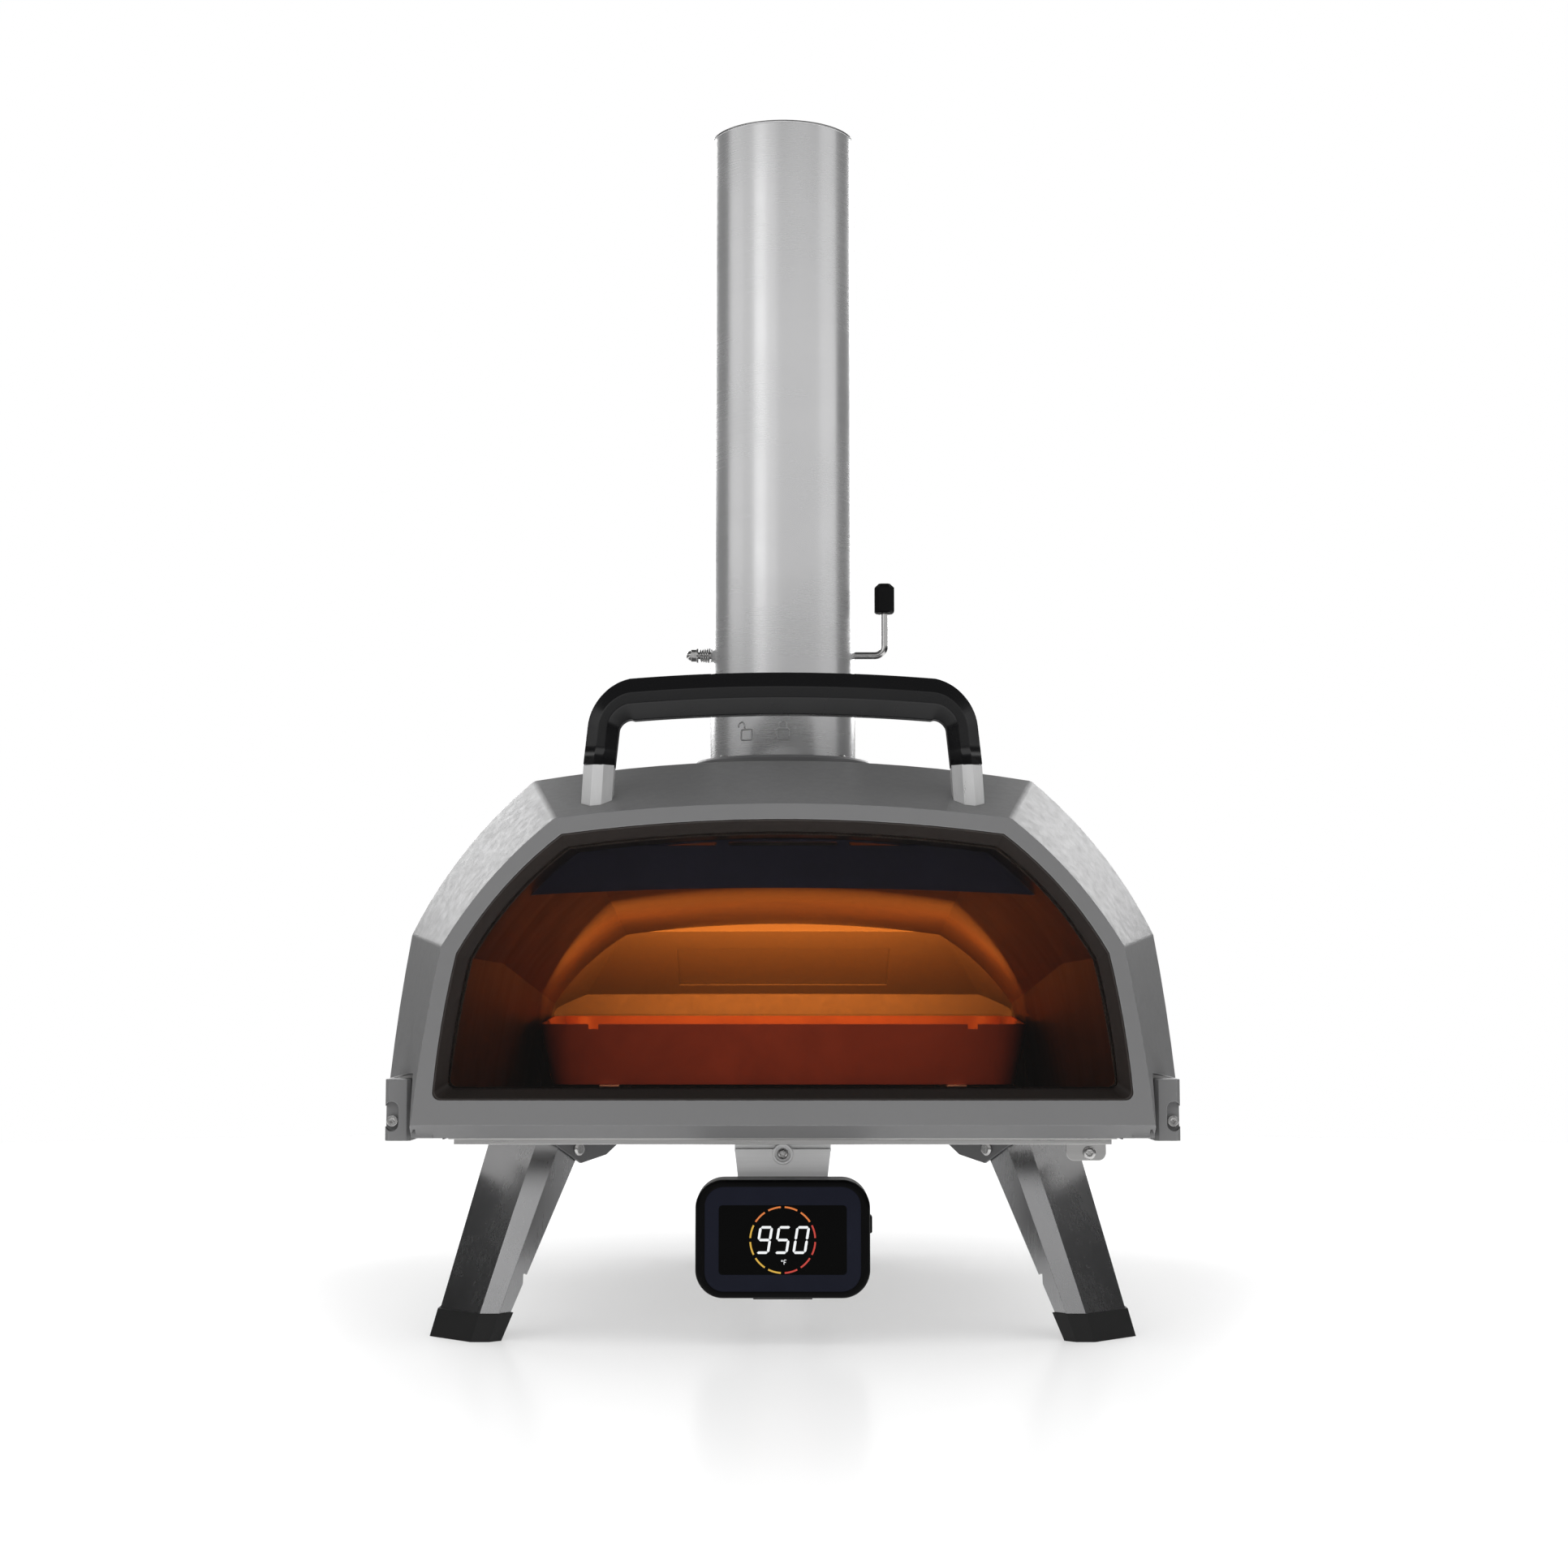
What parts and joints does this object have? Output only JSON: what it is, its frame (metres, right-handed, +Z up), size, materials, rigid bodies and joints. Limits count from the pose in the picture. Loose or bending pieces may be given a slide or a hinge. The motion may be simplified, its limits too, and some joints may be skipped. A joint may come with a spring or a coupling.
{
  "type": "wood-fired pizza oven",
  "caption": "Portable wood-fired pizza oven with a glazed tilting door, tall flue with damper, folding legs, rear fuel tray and hatch, and a front temperature display.",
  "frame": {"origin": "middle of the overall box, on the ground the feet stand on", "axes": "+X to the cook's right facing the door, +Y from the door to the fuel tray, +Z up"},
  "size_m": [0.5272, 0.815, 0.8358],
  "materials": {
    "body_paint": "satin powder coat",
    "door_paint": "satin powder coat",
    "bezel": "matt dark",
    "sheet_steel": "brushed stainless",
    "leg_steel": "brushed stainless",
    "flue_steel": "brushed stainless",
    "chamber_steel": "heat-tinted",
    "baffle_steel": "blue-black heat tint",
    "tray_steel": "heat-worn enamel",
    "stone": "cordierite",
    "ceramic_wool": "ceramic-fibre blanket",
    "smoked_glass": "clear",
    "rope_seal": "glass-fibre rope",
    "handle_metal": "satin",
    "grip_plastic": "satin black",
    "foot_rubber": "matt",
    "bracket_paint": "satin",
    "fastener": "zinc",
    "damper_steel": "bright",
    "display_case": "satin black",
    "display_glass": "gloss",
    "screen": "gloss black"
  },
  "bodies": {
    "root": {"outer_shell": "body_paint", "base_tray": "sheet_steel", "inner_liner": "chamber_steel", "insulation_blanket": "ceramic_wool", "front_frame": "sheet_steel", "rear_panel": "body_paint", "rear_box": "body_paint", "hatch_pin": "fastener", "door_seal": "rope_seal", "front_sill": "sheet_steel", "baking_stone": "stone", "floor_supports": "sheet_steel", "flue_baffle": "baffle_steel", "hinge_block_right": "door_paint", "hinge_block_left": "door_paint", "hinge_pins": "fastener", "hinge_screws": "fastener", "chimney_collar": "body_paint", "collar_screws": "fastener", "leg_brackets": "bracket_paint", "leg_bolts": "fastener", "accessory_bracket": "sheet_steel", "display_bracket": "sheet_steel", "bracket_screws": "fastener", "panel_screws": "fastener"},
    "door": {"door_frame": "door_paint", "window_trim": "bezel", "door_glass": "smoked_glass", "glass_gasket": "rope_seal", "glass_retainer": "sheet_steel", "retainer_screws": "fastener", "handle_posts": "handle_metal", "handle_grip": "grip_plastic", "handle_screws": "fastener"},
    "chimney": {"chimney_tube": "flue_steel"},
    "damper": {"damper_rod": "damper_steel", "damper_plate": "damper_steel", "damper_knob": "grip_plastic", "damper_nut": "fastener", "damper_spring": "fastener", "damper_screws": "fastener"},
    "leg_front_left": {"leg_front_left": "leg_steel", "foot_front_left": "foot_rubber"},
    "leg_front_right": {"leg_front_right": "leg_steel", "foot_front_right": "foot_rubber"},
    "leg_rear": {"leg_rear": "leg_steel", "foot_rear": "foot_rubber"},
    "fuel_tray": {"tray_pan": "tray_steel", "fuel_grate": "tray_steel", "tray_face": "body_paint", "tray_handle": "grip_plastic"},
    "vent_shutter": {"vent_slide": "sheet_steel"},
    "fuel_hatch": {"hatch_door": "body_paint", "hatch_handle": "grip_plastic"},
    "display": {"display_housing": "display_case", "display_panel": "display_glass", "display_screen": "screen", "display_back_cover": "display_case", "display_ports": "foot_rubber"},
    "display_key": {"display_button": "display_case"}
  },
  "joints": [
    {"name": "door_hinge", "type": "hinge", "parent": "root", "child": "door", "pos_m": [0, -0.3775, 0.14], "axis": [1, 0, 0], "range_deg": [0, 90]},
    {"name": "chimney_twist", "type": "hinge", "parent": "root", "child": "chimney", "pos_m": [0, -0.2475, 0.387], "axis": [0, 0, 1], "range_deg": [0, 34]},
    {"name": "damper_turn", "type": "hinge", "parent": "chimney", "child": "damper", "pos_m": [0, -0.2475, 0.4635], "axis": [1, 0, 0], "range_deg": [0, 90]},
    {"name": "leg_front_left_fold", "type": "hinge", "parent": "root", "child": "leg_front_left", "pos_m": [-0.138, -0.3225, 0.1212], "axis": [0.7071, -0.7071, 0], "range_deg": [0, 112]},
    {"name": "leg_front_right_fold", "type": "hinge", "parent": "root", "child": "leg_front_right", "pos_m": [0.138, -0.3225, 0.1212], "axis": [0.7071, 0.7071, 0], "range_deg": [0, 112]},
    {"name": "leg_rear_fold", "type": "hinge", "parent": "root", "child": "leg_rear", "pos_m": [0, 0.1585, 0.1212], "axis": [-1, 0, 0], "range_deg": [0, 112]},
    {"name": "tray_slide", "type": "slide", "parent": "root", "child": "fuel_tray", "axis": [0, 1, 0], "range_m": [0, 0.25]},
    {"name": "vent_slide", "type": "slide", "parent": "fuel_tray", "child": "vent_shutter", "axis": [1, 0, 0], "range_m": [0, 0.013]},
    {"name": "hatch_hinge", "type": "hinge", "parent": "root", "child": "fuel_hatch", "pos_m": [0, 0.25126, 0.28118], "axis": [1, 0, 0], "range_deg": [0, 100]},
    {"name": "display_pull", "type": "slide", "parent": "root", "child": "display", "axis": [0, -1, 0], "range_m": [0, 0.03]},
    {"name": "display_key_press", "type": "slide", "parent": "display", "child": "display_key", "axis": [-1, 0, 0], "range_m": [0, 0.001], "stiffness_N_per_m": 400}
  ]
}
